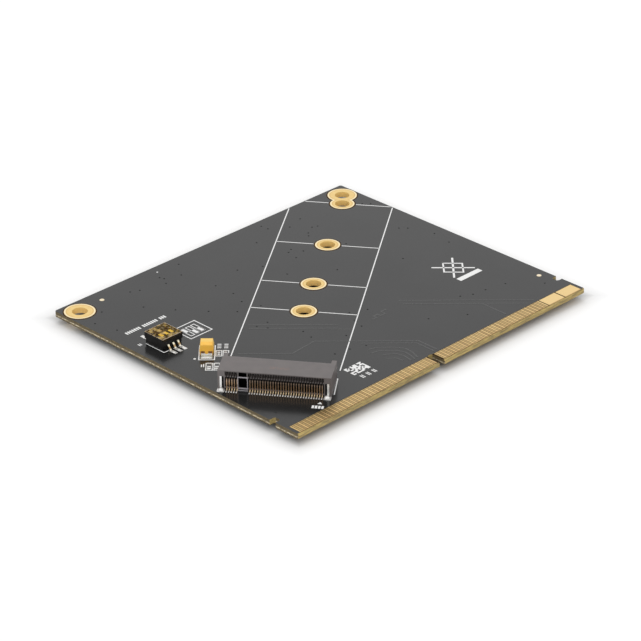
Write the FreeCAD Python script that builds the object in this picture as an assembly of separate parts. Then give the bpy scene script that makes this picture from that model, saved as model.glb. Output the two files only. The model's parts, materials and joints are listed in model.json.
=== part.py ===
"""Mezzanine adapter card: a plug-in board that carries one M.2 key M storage slot.

Frame: origin on the underside at the middle of the board, +X along the gold edge,
+Y from the gold edge towards the screw corners, +Z up. Lengths are in millimetres.
Each sub-part is written to parts/NODE.step.
"""
import FreeCAD, Part
import math
import os

from FreeCAD import Vector

# ---- circuit board ---------------------------------------------------------
board_width = 82.0
board_depth = 70.0
board_thickness = 1.2
board_corner_radius = 0.5
copper_thickness = 0.05
pocket_corner_margin = 0.1        # bare laminate left round the gold fingers

# ---- gold edge -------------------------------------------------------------
finger_pitch = 0.5
finger_width = 0.35
finger_length = 2.9
finger_setback = 0.35             # from the board's edge to the finger tips
finger_side_margin = 0.825        # from the board's left edge to the first finger
left_finger_count = 75
right_finger_count = 62
key_pitches = 5                   # finger pitches from one side of the key to the other
key_notch_width = 1.5
key_notch_depth = 3.6
power_pad_width = 4.7
power_pad_gap = 0.3
bevel_length = 0.4
bevel_height = 0.3
latch_notch_width = 1.6
latch_notch_depth = 1.4
latch_notch_radius = 0.6
latch_notch_from_edge = 7.0       # centre line above the gold edge

# ---- screw holes -----------------------------------------------------------
hole_diameter = 3.2
corner_hole_inset_x = 3.4
corner_hole_inset_y = 3.85
corner_ring_diameter = 6.4
standoff_ring_diameter = 5.3

# ---- M.2 module place ------------------------------------------------------
slot_angle = 35.7                 # turn of the module's axis from +X
slot_from_left = 10.64            # module stop, from the board's left edge
slot_from_front = 16.49           # module stop, from the gold edge
module_lengths = (30.0, 42.0, 60.0, 80.0)

# ---- M.2 slot: u along the module, v across it -----------------------------
slot_width = 22.0
slot_height = 4.2
slot_rear = -3.8
slot_rear_wall = -3.0
slot_roof_front = 2.0
slot_shelf_front = 3.05
slot_tower_front = 3.25
slot_tower_width = 0.95
slot_roof_lip = 0.2
module_bottom = 2.4               # height of the mouth's floor above the board
mouth_height = 0.9
mouth_stop = -0.1
mouth_chamfer = 0.3
comb_margin = 0.45                # from a tower's inner face to the comb
slot_rib_heights = {"upper": (2.85, 3.1), "lower": (0.45, 0.75)}
slot_key_centre = 6.125
slot_key_width = 1.1
slot_key_wall = 0.2
slot_key_gap = 2.2                # width without contacts
slot_key_bay_width = 1.6
slot_lift = 0.12                  # running gap under the slot's middle
peg_inset = 1.0                   # from the slot's end face
peg_offset_u = -1.2
peg_length = 1.0
large_peg_diameter = 1.6
small_peg_diameter = 1.1
peg_clearance = 0.05

# ---- slot contacts ---------------------------------------------------------
contact_pitch = 0.5
contact_width = 0.2
contact_stock = 0.12
contact_clearance = 0.03
contact_row_shift = {"odd": 0.25, "even": 0.0}
contact_margin = 0.3              # from the end of the comb to an outermost contact
rear_tail_length = 0.6
front_tail_length = 0.6
upper_leg_height = 2.2
upper_beam_depth = 0.6            # below the slot's top
upper_groove_drop = 0.44          # groove floor below the beam
upper_bend_u = 0.5
upper_tip_u = 1.25
lower_beam_height = 1.1
lower_tip_u = 1.3
contact_curl = 0.35               # length of the curled end past the touching point
contact_bite = 0.14               # how far a free contact reaches into the mouth
hold_down_height = 2.9
hold_down_width = 0.4
hold_down_stock = 0.2
hold_down_foot = 0.9
hold_down_inset = 0.6             # from the slot's end face

# ---- slide switch, three positions -----------------------------------------
switch_from_left = 6.5
switch_from_front = 44.45
switch_pitch = 1.27
switch_count = 3
switch_end_margin = 1.38
switch_depth = 5.3
switch_base_inset = 0.35
switch_base_lift = 0.1
switch_split_height = 1.07
switch_cover_top = 2.43
switch_roof = 0.48
switch_wall = 0.35
window_width = 0.8
window_length = 2.8
knob_length = 1.2
carrier_width = 0.9
carrier_length = 1.6
carrier_bottom = 1.35
slider_clearance = 0.05
divider_thickness = 0.25
wiper_stock = 0.08
wiper_width = 0.5
wiper_reach = 0.6
wiper_gap = 0.02
lead_width = 0.4
lead_stock = 0.12
lead_foot_start = 3.45
lead_foot_end = 4.4
near_lead_inner = 0.35
far_lead_inner = 0.75
tape_thickness = 0.06
tape_flap = 0.35

# ---- tantalum capacitor and chips, on their own turned grid ----------------
cluster_from_left = 9.0
cluster_from_front = 35.0
cluster_angle = 45.0
capacitor_place = (0.65, -0.2)
capacitor_length = 3.5
capacitor_width = 2.8
capacitor_height = 2.4
capacitor_draft = 0.2
capacitor_lift = 0.12
terminal_stock = 0.12
terminal_width = 2.2
terminal_under = 0.8
terminal_notch_width = 0.5
terminal_notch_depth = 0.55
chip_capacitor_places = ((0.2, -2.55), (0.2, -3.85))
chip_capacitor_size = (1.0, 0.5, 0.5)
chip_capacitor_cap = 0.25
chip_resistor_places = ((-5.1, -0.85), (-5.1, -2.35))
chip_resistor_size = (1.6, 0.8, 0.45)
chip_resistor_cap = 0.3
chip_cap_wall = 0.03

# ---- worked out from the sizes above ---------------------------------------
left_edge = -board_width / 2
right_edge = board_width / 2
gold_edge = -board_depth / 2
back_edge = board_depth / 2
finger_tip_y = gold_edge + finger_setback
finger_root_y = finger_tip_y + finger_length
first_finger_x = left_edge + finger_side_margin
last_left_finger_x = first_finger_x + (left_finger_count - 1) * finger_pitch + finger_width
key_centre_x = last_left_finger_x - finger_width / 2 + key_pitches * finger_pitch / 2
first_right_finger_x = first_finger_x + (left_finger_count - 1 + key_pitches) * finger_pitch
last_right_finger_x = first_right_finger_x + (right_finger_count - 1) * finger_pitch + finger_width
last_pad_x = last_right_finger_x + 2 * (power_pad_gap + power_pad_width)
corner_hole_y = back_edge - corner_hole_inset_y
left_hole = Vector(left_edge + corner_hole_inset_x, corner_hole_y, 0)
right_hole = Vector(right_edge - corner_hole_inset_x, corner_hole_y, 0)
slot_origin = Vector(left_edge + slot_from_left, gold_edge + slot_from_front, board_thickness)
switch_origin = Vector(left_edge + switch_from_left, gold_edge + switch_from_front, board_thickness)
cluster_origin = Vector(left_edge + cluster_from_left, gold_edge + cluster_from_front,
                        board_thickness)
mouth_top = module_bottom + mouth_height
tower_inner = slot_width / 2 - slot_tower_width
comb_half_width = tower_inner - comb_margin
peg_offset_v = slot_width / 2 - peg_inset
hold_down_centre = slot_width / 2 - hold_down_inset
upper_beam_height = slot_height - upper_beam_depth
contact_slot_width = contact_width + 2 * contact_clearance
switch_length = switch_pitch * (switch_count - 1) + 2 * switch_end_margin
switch_ceiling = switch_cover_top - switch_roof
slider_rest_y = -window_length / 2 + slider_clearance + knob_length / 2


# ---- shape helpers ---------------------------------------------------------
def box(x0, x1, y0, y1, z0, z1):
    """A block between two corners."""
    return Part.makeBox(x1 - x0, y1 - y0, z1 - z0, Vector(x0, y0, z0))


def rod(diameter, x, y, z0, z1):
    """An upright cylinder."""
    return Part.makeCylinder(diameter / 2, z1 - z0, Vector(x, y, z0))


def side_prism(outline, y0, y1):
    """A profile drawn in XZ and drawn out along Y."""
    corners = [Vector(x, y0, z) for x, z in outline]
    face = Part.Face(Part.makePolygon(corners + corners[:1]))
    return face.extrude(Vector(0, y1 - y0, 0))


def ribbon(centre_line, stock, y0, y1):
    """A bent strip of even thickness whose centre line lies in XZ."""
    left, right = [], []
    last = len(centre_line) - 1
    for i, (x, z) in enumerate(centre_line):
        before = centre_line[max(i - 1, 0)]
        after = centre_line[min(i + 1, last)]
        inward = unit(x - before[0], z - before[1]) if i > 0 else unit(after[0] - x, after[1] - z)
        outward = unit(after[0] - x, after[1] - z) if i < last else inward
        bisector = unit(inward[0] + outward[0], inward[1] + outward[1])
        spread = stock / 2 / (bisector[0] * inward[0] + bisector[1] * inward[1])
        left.append((x - bisector[1] * spread, z + bisector[0] * spread))
        right.append((x + bisector[1] * spread, z - bisector[0] * spread))
    return side_prism(left + right[::-1], y0, y1)


def unit(x, z):
    """The direction of a step, with length one."""
    length = math.hypot(x, z)
    return x / length, z / length


def placed(shape, origin, angle=0.0):
    """A copy of a shape, turned about Z and moved to its seat."""
    moved = shape.copy()
    moved.rotate(Vector(0, 0, 0), Vector(0, 0, 1), angle)
    moved.translate(origin)
    return moved


def quarter_turned(shape):
    """A copy turned a quarter turn about Z, so that a profile in XZ lies in YZ."""
    return placed(shape, Vector(0, 0, 0), 90)


def joined(shapes):
    """One solid from shapes that touch or overlap."""
    return shapes[0].multiFuse(shapes[1:]).removeSplitter()


def save(name, shapes):
    """Write one node, from one solid or from several."""
    solids = shapes if isinstance(shapes, list) else [shapes]
    shape = solids[0] if len(solids) == 1 else Part.makeCompound(solids)
    shape.exportStep("parts/" + name + ".step")


# ---- gold edge -------------------------------------------------------------
def finger(x, z0):
    """One gold finger whose left side is at x."""
    return box(x, x + finger_width, finger_tip_y, finger_root_y, z0, z0 + copper_thickness)


def finger_row(z0, stagger, shortfall):
    """Both finger groups of one side of the board."""
    row = []
    for start, count in ((first_finger_x, left_finger_count),
                         (first_right_finger_x, right_finger_count)):
        for i in range(count - shortfall):
            row.append(finger(start + stagger + i * finger_pitch, z0))
    return row


def power_pads(z0):
    """The two wide supply pads at the right end of the gold edge."""
    pads = []
    for i in range(2):
        x = last_right_finger_x + power_pad_gap + i * (power_pad_gap + power_pad_width)
        pads.append(box(x, x + power_pad_width, finger_tip_y, finger_root_y,
                        z0, z0 + copper_thickness))
    return pads


# ---- plated screw holes ----------------------------------------------------
def module_point(u, v=0.0):
    """A point of the module's frame, on the board's underside plane."""
    turn = math.radians(slot_angle)
    return Vector(slot_origin.x + u * math.cos(turn) - v * math.sin(turn),
                  slot_origin.y + u * math.sin(turn) + v * math.cos(turn), 0)


def plated_places():
    """The centre and the copper ring's diameter of every plated hole."""
    places = [(left_hole, corner_ring_diameter), (right_hole, corner_ring_diameter)]
    return places + [(module_point(length), standoff_ring_diameter) for length in module_lengths]


def ring_lands():
    """The copper rings, proud of the mask by their thickness."""
    return [rod(diameter, centre.x, centre.y, 0, board_thickness + copper_thickness)
            for centre, diameter in plated_places()]


def plated_bores():
    """The cutters for the finished holes."""
    return [rod(hole_diameter, centre.x, centre.y, 0, board_thickness + copper_thickness)
            for centre, _ in plated_places()]


# ---- circuit board ---------------------------------------------------------
def upright_edges(shape, x_limit):
    """The vertical edges that lie within x_limit of the X origin."""
    return [e for e in shape.Edges
            if abs(e.tangentAt(e.FirstParameter).z) > 0.99 and abs(e.CenterOfMass.x) < x_limit]


def latch_notch(side):
    """The cutter for one retention notch, on the left (-1) or right (+1) side."""
    half = latch_notch_width / 2
    y = gold_edge + latch_notch_from_edge
    inner = board_width / 2 - latch_notch_depth
    outer = board_width / 2 + latch_notch_depth
    cutter = box(inner, outer, y - half, y + half, 0, board_thickness)
    cutter = cutter.makeFillet(latch_notch_radius, upright_edges(cutter, board_width / 2))
    return cutter if side > 0 else cutter.mirror(Vector(0, 0, 0), Vector(1, 0, 0))


def key_notch():
    """The cutter for the round-ended key notch."""
    half = key_notch_width / 2
    end = gold_edge + key_notch_depth - half
    return joined([box(key_centre_x - half, key_centre_x + half, gold_edge, end, 0, board_thickness),
                   rod(key_notch_width, key_centre_x, end, 0, board_thickness)])


def bevel(top):
    """The cutter for the lead-in bevel of the gold edge, upper or lower."""
    face_z = board_thickness if top else 0.0
    inward = -bevel_height if top else bevel_height
    profile = [(gold_edge, face_z), (gold_edge, face_z + inward), (gold_edge + bevel_length, face_z)]
    prism = quarter_turned(side_prism(profile, -board_width / 2, board_width / 2))
    return prism


def finger_recess(z0):
    """The cutter that opens the solder mask round the gold fingers."""
    return box(first_finger_x - pocket_corner_margin, last_pad_x + pocket_corner_margin,
               gold_edge, finger_root_y + pocket_corner_margin, z0, z0 + copper_thickness)


def peg_holes():
    """The cutters for the two locating holes under the slot."""
    cutters = []
    for diameter, v in ((large_peg_diameter, peg_offset_v), (small_peg_diameter, -peg_offset_v)):
        point = module_point(peg_offset_u, v)
        cutters.append(rod(diameter + 2 * peg_clearance, point.x, point.y, 0, board_thickness))
    return cutters


def circuit_board():
    """The laminate with its solder mask and its plated screw holes."""
    blank = box(left_edge, right_edge, gold_edge, back_edge, 0, board_thickness)
    blank = blank.makeFillet(board_corner_radius, upright_edges(blank, board_width))
    cutters = [latch_notch(-1), latch_notch(1), key_notch(), bevel(True), bevel(False),
               finger_recess(0), finger_recess(board_thickness - copper_thickness)]
    cutters += plated_bores() + peg_holes()
    return joined([blank] + ring_lands()).cut(cutters)


# ---- M.2 slot --------------------------------------------------------------
def contact_centres(row):
    """Where one row's contacts stand across the slot, on both sides of the key."""
    limit = comb_half_width - contact_margin
    steps = int(slot_width / contact_pitch)
    grid = [contact_row_shift[row] + i * contact_pitch for i in range(-steps, steps)]
    return [v for v in grid if abs(v) <= limit and abs(v - slot_key_centre) >= slot_key_gap / 2]


def slot_cutter(u0, u1, centre, z0, z1):
    """The cutter for one contact's groove."""
    half = contact_slot_width / 2
    return box(u0, u1, centre - half, centre + half, z0, z1)


def slot_body():
    """The slot's block with its mouth, before the grooves are cut."""
    section = [(slot_rear_wall, slot_lift), (slot_shelf_front, slot_lift),
               (slot_shelf_front, module_bottom - mouth_chamfer),
               (slot_shelf_front - mouth_chamfer, module_bottom),
               (mouth_stop, module_bottom), (mouth_stop, mouth_top),
               (slot_roof_front - mouth_chamfer, mouth_top),
               (slot_roof_front, mouth_top + mouth_chamfer),
               (slot_roof_front, slot_height), (slot_rear, slot_height),
               (slot_rear, slot_height - slot_roof_lip),
               (slot_rear_wall, slot_height - slot_roof_lip)]
    pieces = [side_prism(section, -tower_inner, tower_inner)]
    for side in (-1, 1):
        v0, v1 = sorted((side * tower_inner, side * slot_width / 2))
        pieces.append(box(slot_rear, slot_tower_front, v0, v1, 0, slot_height))
        v0, v1 = sorted((side * comb_half_width, side * tower_inner))
        pieces.append(box(slot_rear, slot_rear_wall, v0, v1, 0, slot_height))
    for low, high in slot_rib_heights.values():
        pieces.append(box(slot_rear, slot_rear_wall, -tower_inner, tower_inner, low, high))
    pieces += slot_key_walls()
    half = slot_key_width / 2
    pieces.append(box(mouth_stop, slot_roof_front - mouth_chamfer,
                      slot_key_centre - half, slot_key_centre + half, module_bottom, mouth_top))
    for diameter, v in ((large_peg_diameter, peg_offset_v), (small_peg_diameter, -peg_offset_v)):
        pieces.append(rod(diameter, peg_offset_u, v, -peg_length, slot_lift))
    return joined(pieces)


def slot_key_walls():
    """The two uprights that frame the empty bay behind the key."""
    walls = []
    for side in (-1, 1):
        inner = slot_key_centre + side * slot_key_bay_width / 2
        v0, v1 = sorted((inner, inner + side * slot_key_wall))
        walls.append(box(slot_rear, slot_rear_wall, v0, v1, 0, slot_height))
    return walls


def slot_housing():
    """The moulded slot body with a groove for each contact and hold-down."""
    cutters = []
    for centre in contact_centres("odd"):
        cutters.append(slot_cutter(slot_rear_wall, slot_roof_front, centre,
                                   upper_beam_height - upper_groove_drop,
                                   slot_height - 2 * slot_roof_lip))
        cutters.append(slot_cutter(mouth_stop, slot_roof_front, centre,
                                   mouth_top - contact_bite, slot_height - 2 * slot_roof_lip))
        cutters.append(slot_cutter(slot_rear, slot_rear_wall, centre,
                                   0, slot_height - slot_roof_lip))
    for centre in contact_centres("even"):
        cutters.append(slot_cutter(mouth_stop, slot_shelf_front, centre,
                                   lower_beam_height - contact_stock, module_bottom))
    for side in (-1, 1):
        centre = side * hold_down_centre
        half = hold_down_width / 2 + contact_clearance
        cutters.append(box(slot_rear, slot_rear + hold_down_stock, centre - half, centre + half,
                           0, hold_down_height + contact_clearance))
    return slot_body().cut(cutters)


def upper_contact(centre):
    """A contact of the upper row, from its rear tail to its curled tip."""
    foot_z = contact_stock / 2
    tip_z = mouth_top - contact_bite
    leg_u = slot_rear + contact_stock + contact_clearance
    neck_u = slot_rear_wall - 2 * contact_stock
    line = [(slot_rear - rear_tail_length, foot_z), (leg_u, foot_z), (leg_u, upper_leg_height),
            (neck_u, upper_beam_height), (upper_bend_u, upper_beam_height),
            (upper_tip_u, tip_z), (upper_tip_u + contact_curl, tip_z + 2 * contact_stock)]
    return ribbon(line, contact_stock, centre - contact_width / 2, centre + contact_width / 2)


def lower_contact(centre):
    """A contact of the lower row, from its front tail to its raised tip."""
    foot_z = contact_stock / 2
    tip_z = module_bottom + contact_bite
    leg_u = slot_shelf_front + contact_stock
    heel_u = mouth_stop + 2 * contact_stock
    line = [(slot_tower_front + front_tail_length, foot_z), (leg_u, foot_z),
            (leg_u, lower_beam_height), (heel_u, lower_beam_height),
            (lower_tip_u, tip_z), (lower_tip_u + contact_curl, tip_z - 2 * contact_stock)]
    return ribbon(line, contact_stock, centre - contact_width / 2, centre + contact_width / 2)


def hold_down(side):
    """A soldered bracket that ties one end of the slot to the board."""
    centre = side * hold_down_centre
    half = hold_down_width / 2
    strip = box(slot_rear, slot_rear + hold_down_stock, centre - half, centre + half,
                0, hold_down_height)
    v0, v1 = sorted((centre - side * half, side * (slot_width / 2 + contact_clearance)))
    foot = box(slot_rear - hold_down_foot, slot_rear, v0, v1, 0, hold_down_stock)
    return joined([strip, foot])


# ---- slide switch ----------------------------------------------------------
def switch_columns():
    """The X centres of the switch's positions."""
    middle = (switch_count - 1) / 2
    return [(i - middle) * switch_pitch for i in range(switch_count)]


def switch_cover():
    """The upper shell with one window for each slider."""
    half_x, half_y = switch_length / 2, switch_depth / 2
    shell = box(-half_x, half_x, -half_y, half_y, switch_split_height, switch_cover_top)
    cavity = box(-half_x + switch_wall, half_x - switch_wall, -half_y + switch_wall,
                 half_y - switch_wall, switch_split_height, switch_ceiling)
    shell = shell.cut(cavity)
    dividers = []
    for i in range(switch_count - 1):
        x = (switch_columns()[i] + switch_columns()[i + 1]) / 2
        dividers.append(box(x - divider_thickness / 2, x + divider_thickness / 2,
                            -half_y + switch_wall, half_y - switch_wall,
                            carrier_bottom - slider_clearance, switch_ceiling))
    windows = [box(x - window_width / 2, x + window_width / 2, -window_length / 2,
                   window_length / 2, switch_ceiling, switch_cover_top) for x in switch_columns()]
    return joined([shell] + dividers).cut(windows)


def switch_base():
    """The lower block, narrower than the cover, with a groove for each lead."""
    half_x, half_y = switch_length / 2, switch_depth / 2 - switch_base_inset
    block = box(-half_x, half_x, -half_y, half_y, switch_base_lift, switch_split_height)
    grooves = []
    for x in switch_columns():
        grooves.append(box(x - lead_width / 2, x + lead_width / 2, -half_y, near_lead_inner,
                           switch_split_height - lead_stock, switch_split_height))
        grooves.append(box(x - lead_width / 2, x + lead_width / 2, far_lead_inner, half_y,
                           switch_split_height - lead_stock, switch_split_height))
    return block.cut(grooves)


def switch_leads():
    """Six gull-wing leads, whose inner ends are the fixed contacts."""
    shelf_z = switch_split_height - lead_stock / 2
    foot_z = lead_stock / 2
    knee = switch_depth / 2 + lead_stock
    leads = []
    for x in switch_columns():
        for side, inner in ((-1, -near_lead_inner), (1, far_lead_inner)):
            line = [(inner, shelf_z), (knee, shelf_z), (lead_foot_start, foot_z),
                    (lead_foot_end, foot_z)]
            strip = ribbon(line, lead_stock, -lead_width / 2, lead_width / 2)
            leads.append(placed(strip, Vector(x, 0, 0), 90 * side))
    return leads


def switch_slider(x):
    """A carrier with its knob, at the end of its slot nearest the gold edge."""
    carrier = box(x - carrier_width / 2, x + carrier_width / 2,
                  slider_rest_y - carrier_length / 2, slider_rest_y + carrier_length / 2,
                  carrier_bottom, switch_ceiling - slider_clearance)
    half = window_width / 2 - slider_clearance
    knob = box(x - half, x + half, slider_rest_y - knob_length / 2,
               slider_rest_y + knob_length / 2, carrier_bottom,
               switch_cover_top - slider_clearance)
    return joined([carrier, knob])


def switch_wiper(x):
    """The bridging spring under a carrier, just clear of the fixed contacts."""
    crown_z = carrier_bottom - wiper_stock / 2
    bump_z = switch_split_height + wiper_gap + wiper_stock / 2
    end = carrier_length / 2 - wiper_stock
    line = [(-end, crown_z), (-wiper_reach, bump_z), (-wiper_reach / 2, crown_z),
            (wiper_reach / 2, crown_z), (wiper_reach, bump_z), (end, crown_z)]
    strip = quarter_turned(ribbon(line, wiper_stock, -wiper_width / 2, wiper_width / 2))
    return placed(strip, Vector(x, slider_rest_y, 0))


def switch_seal_tape():
    """The film over the windows, with its front edge folded down."""
    half_x, half_y = switch_length / 2, switch_depth / 2
    sheet = box(-half_x, half_x, -half_y, half_y, switch_cover_top,
                switch_cover_top + tape_thickness)
    flap = box(-half_x, half_x, -half_y - tape_thickness, -half_y,
               switch_cover_top - tape_flap, switch_cover_top + tape_thickness)
    return joined([sheet, flap])


# ---- tantalum capacitor ----------------------------------------------------
def capacitor_half(z_seam, z_end):
    """One drafted half of the moulded body, from the seam to its flat face."""
    outlines = []
    for z, inset in ((z_seam, 0.0), (z_end, capacitor_draft)):
        x = capacitor_length / 2 - terminal_stock - inset
        y = capacitor_width / 2 - inset
        corners = [Vector(-x, -y, z), Vector(x, -y, z), Vector(x, y, z), Vector(-x, y, z)]
        outlines.append(Part.makePolygon(corners + corners[:1]))
    return Part.makeLoft(outlines, True, True)


def capacitor_body():
    """The moulded body, with a nib that fills each terminal's notch."""
    seam = capacitor_height / 2
    pieces = [capacitor_half(seam, capacitor_height), capacitor_half(seam, capacitor_lift)]
    half = terminal_notch_width / 2
    for side in (-1, 1):
        outer = capacitor_length / 2
        x0, x1 = sorted((side * (outer - terminal_stock - capacitor_draft), side * outer))
        pieces.append(box(x0, x1, -half, half, seam - terminal_notch_depth, seam))
    body = joined(pieces)
    return body.cut([capacitor_terminal(side) for side in (-1, 1)])


def capacitor_terminal(side):
    """A lead strip that leaves the body at its seam and wraps under the end."""
    outer = capacitor_length / 2
    line = [(outer - terminal_stock - capacitor_draft, capacitor_height / 2 - terminal_stock / 2),
            (outer - terminal_stock / 2, capacitor_height / 2 - terminal_stock / 2),
            (outer - terminal_stock / 2, terminal_stock / 2),
            (outer - terminal_under, terminal_stock / 2)]
    strip = ribbon(line, terminal_stock, -terminal_width / 2, terminal_width / 2)
    half = terminal_notch_width / 2
    notch = box(outer - terminal_stock - capacitor_draft - terminal_stock, outer, -half, half,
                capacitor_height / 2 - terminal_notch_depth, capacitor_height / 2)
    strip = strip.cut(notch)
    return placed(strip, Vector(0, 0, 0), 0 if side > 0 else 180)


# ---- chips -----------------------------------------------------------------
def chip_body(size, cap):
    """A ceramic block, thinner at its ends where the caps wrap it."""
    length, width, height = size
    core = box(-length / 2 + chip_cap_wall, length / 2 - chip_cap_wall,
               -width / 2 + chip_cap_wall, width / 2 - chip_cap_wall,
               chip_cap_wall, height - chip_cap_wall)
    middle = box(-length / 2 + cap, length / 2 - cap, -width / 2, width / 2,
                 chip_cap_wall, height)
    return joined([core, middle])


def chip_caps(size, cap):
    """The two metal end caps of a chip."""
    length, width, height = size
    caps = []
    for x0, x1 in ((-length / 2, -length / 2 + cap), (length / 2 - cap, length / 2)):
        caps.append(box(x0, x1, -width / 2, width / 2, 0, height).cut(chip_body(size, cap)))
    return caps


# ---- output ----------------------------------------------------------------
def in_slot(shapes):
    """Shapes of the slot's frame, seated on the board."""
    return [placed(shape, slot_origin, slot_angle) for shape in shapes]


def in_switch(shapes):
    """Shapes of the switch's frame, seated on the board."""
    return [placed(shape, switch_origin) for shape in shapes]


def in_cluster(shapes, place):
    """Shapes of one component's frame, seated on the turned grid."""
    seated = [placed(shape, Vector(place[0], place[1], 0)) for shape in shapes]
    return [placed(shape, cluster_origin, cluster_angle) for shape in seated]


def save_board():
    """The board and its copper."""
    top = board_thickness - copper_thickness
    save("circuit_board", circuit_board())
    save("edge_fingers_top", finger_row(top, 0.0, 0))
    save("edge_fingers_bottom", finger_row(0.0, finger_pitch / 2, 1))
    save("power_pads_top", power_pads(top))
    save("power_pads_bottom", power_pads(0.0))


def save_slot():
    """The M.2 slot."""
    save("slot_housing", in_slot([slot_housing()]))
    save("slot_upper_contacts", in_slot([upper_contact(v) for v in contact_centres("odd")]))
    save("slot_lower_contacts", in_slot([lower_contact(v) for v in contact_centres("even")]))
    save("slot_hold_down_left", in_slot([hold_down(1)]))
    save("slot_hold_down_right", in_slot([hold_down(-1)]))


def save_switch():
    """The slide switch."""
    save("switch_base", in_switch([switch_base()]))
    save("switch_cover", in_switch([switch_cover()]))
    save("switch_leads", in_switch(switch_leads()))
    save("switch_seal_tape", in_switch([switch_seal_tape()]))
    for number, x in enumerate(switch_columns(), 1):
        save("switch_slider_" + str(number), in_switch([switch_slider(x)]))
        save("switch_wiper_" + str(number), in_switch([switch_wiper(x)]))


def save_cluster():
    """The tantalum capacitor and the chips round it."""
    save("capacitor_body", in_cluster([capacitor_body()], capacitor_place))
    save("capacitor_near_terminal", in_cluster([capacitor_terminal(-1)], capacitor_place))
    save("capacitor_far_terminal", in_cluster([capacitor_terminal(1)], capacitor_place))
    kinds = (("chip_capacitor", chip_capacitor_places, chip_capacitor_size, chip_capacitor_cap),
             ("chip_resistor", chip_resistor_places, chip_resistor_size, chip_resistor_cap))
    for name, places, size, cap in kinds:
        for number, place in enumerate(places, 1):
            label = name + "_" + str(number)
            save(label + "_body", in_cluster([chip_body(size, cap)], place))
            save(label + "_caps", in_cluster(chip_caps(size, cap), place))


os.makedirs("parts", exist_ok=True)
save_board()
save_slot()
save_switch()
save_cluster()
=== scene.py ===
"""Looks of the mezzanine adapter card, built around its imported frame.

Lengths are written in millimetres and turned into metres by the mesh builders. Four frames are
used: the board's own, the switch's (the same axes from its middle), the module's (u along the
module, v across it) and the turned grid of the capacitor and chips (a towards the far corner,
b to its left).
"""
import json
import math
import random

import bpy
from mathutils import Matrix, Vector


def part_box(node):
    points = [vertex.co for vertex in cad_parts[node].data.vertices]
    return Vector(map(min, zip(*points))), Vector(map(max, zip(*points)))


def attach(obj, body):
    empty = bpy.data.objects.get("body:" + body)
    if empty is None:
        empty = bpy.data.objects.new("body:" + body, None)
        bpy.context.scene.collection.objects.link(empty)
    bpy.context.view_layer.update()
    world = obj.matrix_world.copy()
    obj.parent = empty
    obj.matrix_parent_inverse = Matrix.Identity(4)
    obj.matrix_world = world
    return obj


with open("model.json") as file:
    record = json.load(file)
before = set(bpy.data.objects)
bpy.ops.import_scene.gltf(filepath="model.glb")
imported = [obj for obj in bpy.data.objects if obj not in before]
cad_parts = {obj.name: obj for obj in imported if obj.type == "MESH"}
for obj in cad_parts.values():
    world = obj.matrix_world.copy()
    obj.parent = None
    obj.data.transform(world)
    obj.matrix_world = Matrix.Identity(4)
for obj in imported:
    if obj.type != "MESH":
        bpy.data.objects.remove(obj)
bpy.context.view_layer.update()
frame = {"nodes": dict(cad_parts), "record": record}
NODES = frame["nodes"]
MOUNTS = {mount["name"]: mount for mount in frame["record"]["mounts"]}
BODY = "card"
MM = 0.001


# ---- places read from the frame --------------------------------------------
def node_box(name):
    """A node's lowest and highest corner, in millimetres."""
    low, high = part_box(name)
    return low / MM, high / MM


def mount_point(name):
    """A mount's place in millimetres."""
    return Vector(MOUNTS[name]["pos_m"]) / MM


BOARD_LOW, BOARD_HIGH = node_box("circuit_board")
BOARD_TOP = node_box("edge_fingers_top")[1].z
STANDOFFS = {length: mount_point(f"standoff_hole_{length}") for length in (30, 42, 60, 80)}
MODULE_AXIS = Vector(MOUNTS["module_slot"]["axis"])
MODULE_ANGLE = math.atan2(MODULE_AXIS.y, MODULE_AXIS.x)
MODULE_ORIGIN = STANDOFFS[30] - 30 * MODULE_AXIS
SCREW_PATTERN = MOUNTS["corner_screw_holes"]
SCREW_SPREAD = SCREW_PATTERN["dims"]["spacing_x_mm"] / 2
CORNER_HOLES = [mount_point("corner_screw_holes") + Vector((side * SCREW_SPREAD, 0, 0))
                for side in (-1, 1)]
SWITCH_LOW, SWITCH_HIGH = node_box("switch_cover")
SWITCH_CENTRE = (SWITCH_LOW + SWITCH_HIGH) / 2
CAPACITOR_LOW, CAPACITOR_HIGH = node_box("capacitor_body")
CAPACITOR_CENTRE = (CAPACITOR_LOW + CAPACITOR_HIGH) / 2
GRID_ANGLE = math.radians(45)
GRID_HOME = (0.65, -0.2)          # the capacitor's own place on the turned grid
SLOT_TOP = node_box("slot_housing")[1].z
COMB_HALF_WIDTH = 9.6
BAY_CENTRE = 6.125
FINGER_START = node_box("edge_fingers_top")[0].x
FINGER_TIP = node_box("edge_fingers_top")[0].y
FINGER_PITCH = 0.5
LAST_FINGER = node_box("edge_fingers_bottom")[1].x

CORNER_RING_RADIUS = 3.2
STANDOFF_RING_RADIUS = 2.65
RINGS = [(centre, CORNER_RING_RADIUS) for centre in CORNER_HOLES]
RINGS += [(centre, STANDOFF_RING_RADIUS) for centre in STANDOFFS.values()]


def turned(origin, angle, x, y):
    """A point of a turned frame, in board millimetres."""
    return (origin.x + x * math.cos(angle) - y * math.sin(angle),
            origin.y + x * math.sin(angle) + y * math.cos(angle))


def on_module(u, v):
    return turned(MODULE_ORIGIN, MODULE_ANGLE, u, v)


def on_grid(a, b):
    return turned(CAPACITOR_CENTRE, GRID_ANGLE, a, b)


def on_switch(x, y):
    return turned(SWITCH_CENTRE, 0.0, x, y)


def on_board(x, y):
    return (x, y)


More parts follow.
